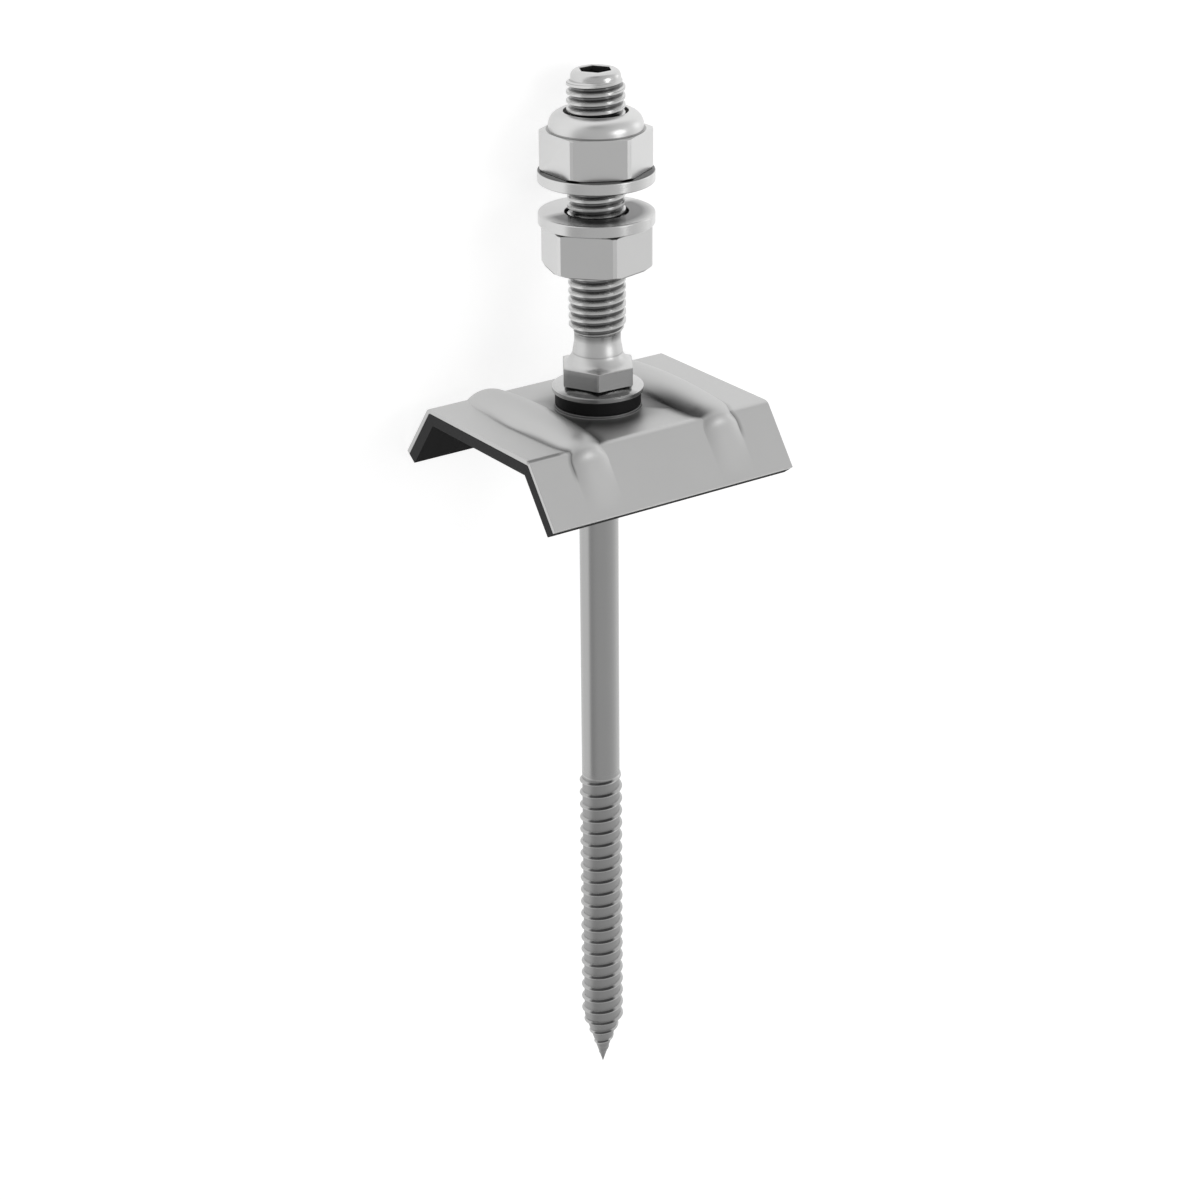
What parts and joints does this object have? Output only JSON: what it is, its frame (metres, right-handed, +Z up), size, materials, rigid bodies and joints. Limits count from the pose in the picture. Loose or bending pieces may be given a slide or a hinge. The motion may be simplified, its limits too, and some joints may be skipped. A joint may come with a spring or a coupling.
{
  "type": "solar hanger bolt",
  "caption": "Long screw with a wood thread below, a threaded stud above, a sealed saddle for a corrugated roof in the middle and clamping nuts on the stud",
  "frame": {"origin": "on the floor under the middle of the assembly as it lies at rest, head down, on one foot edge of the saddle and a corner of the lock nut", "axes": "+Z up; +Y from the tip to the stud end, along the floor under the bolt, whose own axis dips about 13 degrees to the stud end; X along the saddle"},
  "size_m": [0.0502, 0.191, 0.0523],
  "materials": {
    "bolt_steel": "cold rolled stainless steel, satin",
    "disc_steel": "stamped stainless steel, satin",
    "nut_steel": "stainless steel, fine satin",
    "washer_steel": "stamped stainless steel, satin",
    "saddle_sheet": "mill finish sheet, matt",
    "ring_rubber": "black, matt",
    "lining_rubber": "black, matt, cut edges a little lighter",
    "ring_plastic": "dull dark grey"
  },
  "bodies": {
    "bolt": {"hanger_bolt": "bolt_steel", "sealing_washer": "disc_steel", "sealing_ring": "ring_rubber"},
    "saddle": {"saddle": "saddle_sheet", "saddle_lining": "lining_rubber"},
    "lower_washer": {"lower_washer": "washer_steel"},
    "lower_nut": {"lower_nut": "nut_steel"},
    "upper_washer": {"upper_washer": "washer_steel"},
    "lock_nut": {"lock_nut": "nut_steel", "lock_ring": "ring_plastic"}
  },
  "joints": [
    {"name": "saddle_turn", "type": "hinge", "parent": "bolt", "child": "saddle", "pos_m": [0, 0.03648, 0.0204], "axis": [0, 0.9743, -0.2253], "continuous": true},
    {"name": "lower_nut_travel", "type": "slide", "parent": "bolt", "child": "lower_washer", "axis": [0, 0.9743, -0.2253], "range_m": [-0.0106, 0.0026]},
    {"name": "lower_nut_turn", "type": "hinge", "parent": "lower_washer", "child": "lower_nut", "pos_m": [0, 0.06849, 0.013], "axis": [0, 0.9743, -0.2253], "range_deg": [-2520, 612]},
    {"name": "lock_nut_travel", "type": "slide", "parent": "bolt", "child": "upper_washer", "axis": [0, 0.9743, -0.2253], "range_m": [-0.0026, 0.0069]},
    {"name": "lock_nut_turn", "type": "hinge", "parent": "upper_washer", "child": "lock_nut", "pos_m": [0, 0.07755, 0.01091], "axis": [0, 0.9743, -0.2253], "range_deg": [-612, 1620]}
  ],
  "couplings": [
    {"joint": "lower_nut_travel", "follows": "lower_nut_turn", "m_per_rad": 0.00023873},
    {"joint": "lock_nut_travel", "follows": "lock_nut_turn", "m_per_rad": 0.00023873}
  ]
}
